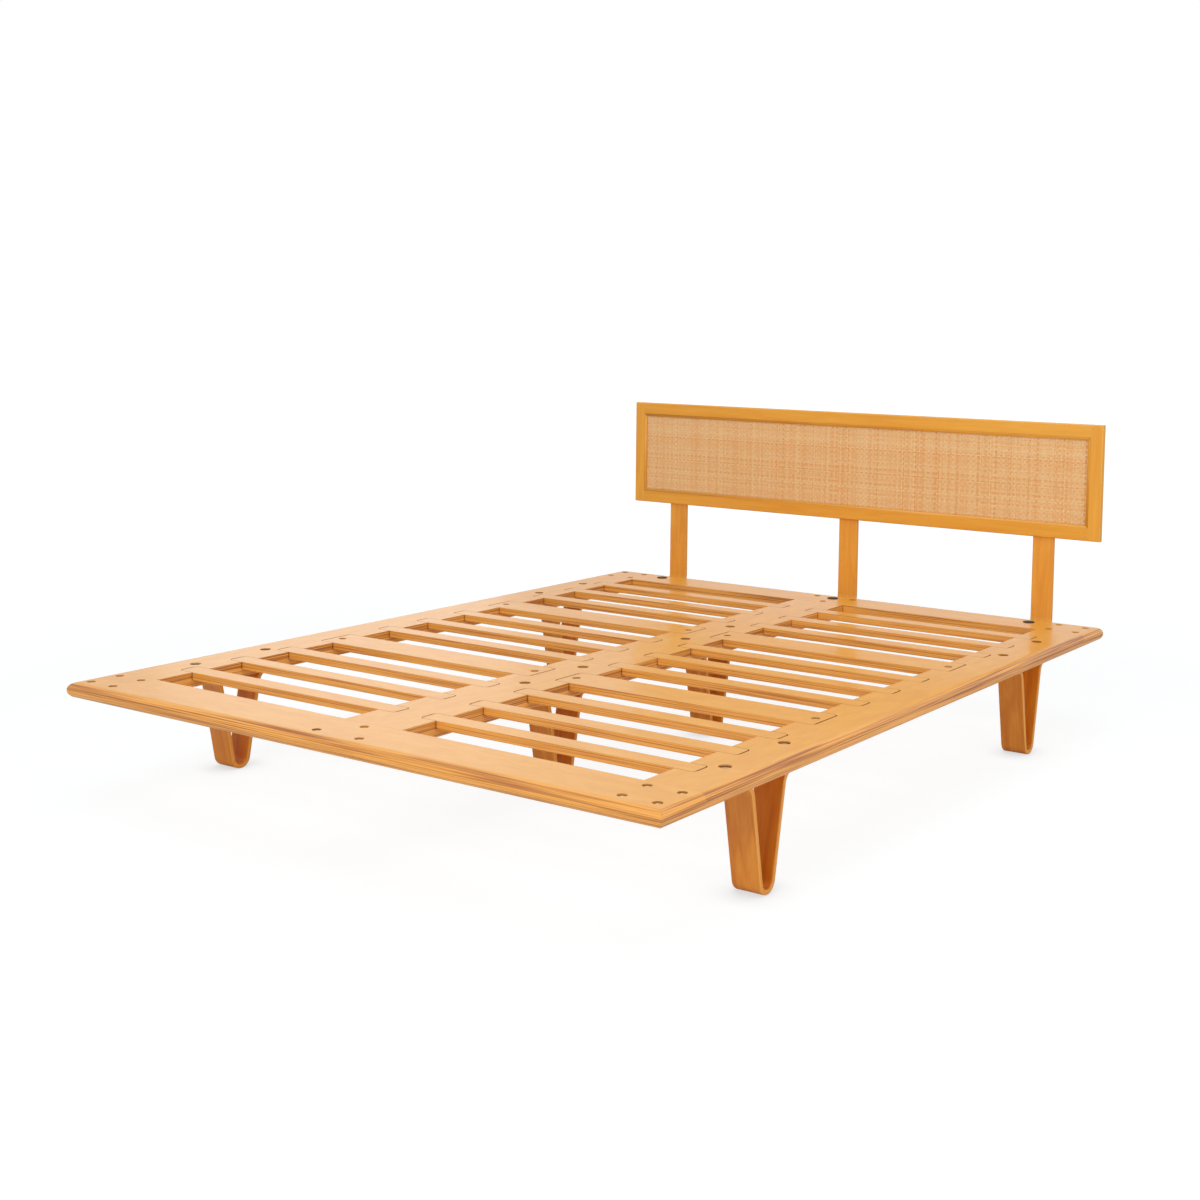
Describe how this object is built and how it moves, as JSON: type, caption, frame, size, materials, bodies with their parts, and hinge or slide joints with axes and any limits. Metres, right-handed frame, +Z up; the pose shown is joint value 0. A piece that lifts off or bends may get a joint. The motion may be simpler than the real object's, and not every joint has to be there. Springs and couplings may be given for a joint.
{
  "type": "bentwood bed",
  "caption": "Low platform bed of lapped plywood rails with flush slats, bent-strip legs and a cane-panelled headboard carried on bent posts.",
  "frame": {"origin": "on the floor under the middle of the bed's outline, headboard included", "axes": "+X across the bed, +Y from the foot towards the headboard, +Z up"},
  "size_m": [1.665, 2.216, 0.842],
  "materials": {
    "plywood": "satin lacquered birch plywood",
    "bent_strip": "satin lacquered bent plywood",
    "headboard_wood": "satin lacquered birch",
    "cane": "fine woven cane",
    "back_board": "thin plywood",
    "steel": "zinc-grey steel",
    "black_cap": "satin black"
  },
  "bodies": {
    "root": {"cane_panel": "cane", "centre_rail": "plywood", "foot_rail": "plywood", "head_rail": "plywood", "headboard_back_board": "back_board", "headboard_bead_bottom": "headboard_wood", "headboard_bead_left": "headboard_wood", "headboard_bead_right": "headboard_wood", "headboard_bead_top": "headboard_wood", "headboard_bottom_rail": "headboard_wood", "headboard_post_centre": "bent_strip", "headboard_post_left": "bent_strip", "headboard_post_right": "bent_strip", "headboard_screws": "steel", "headboard_stile_left": "headboard_wood", "headboard_stile_right": "headboard_wood", "headboard_top_rail": "headboard_wood", "lap_screws": "steel", "leg_bolts": "steel", "leg_centre_foot": "bent_strip", "leg_centre_head": "bent_strip", "leg_foot_left": "bent_strip", "leg_foot_right": "bent_strip", "leg_head_left": "bent_strip", "leg_head_right": "bent_strip", "leg_nuts": "steel", "post_bolts": "black_cap", "post_nuts": "steel", "side_rail_left": "plywood", "side_rail_right": "plywood", "slat_left_1": "plywood", "slat_left_10": "plywood", "slat_left_11": "plywood", "slat_left_2": "plywood", "slat_left_3": "plywood", "slat_left_5": "plywood", "slat_left_6": "plywood", "slat_left_7": "plywood", "slat_left_9": "plywood", "slat_right_1": "plywood", "slat_right_10": "plywood", "slat_right_11": "plywood", "slat_right_2": "plywood", "slat_right_3": "plywood", "slat_right_5": "plywood", "slat_right_6": "plywood", "slat_right_7": "plywood", "slat_right_9": "plywood", "slat_screws": "steel", "wide_slat_left_4": "plywood", "wide_slat_left_8": "plywood", "wide_slat_right_4": "plywood", "wide_slat_right_8": "plywood"}
  },
  "joints": []
}
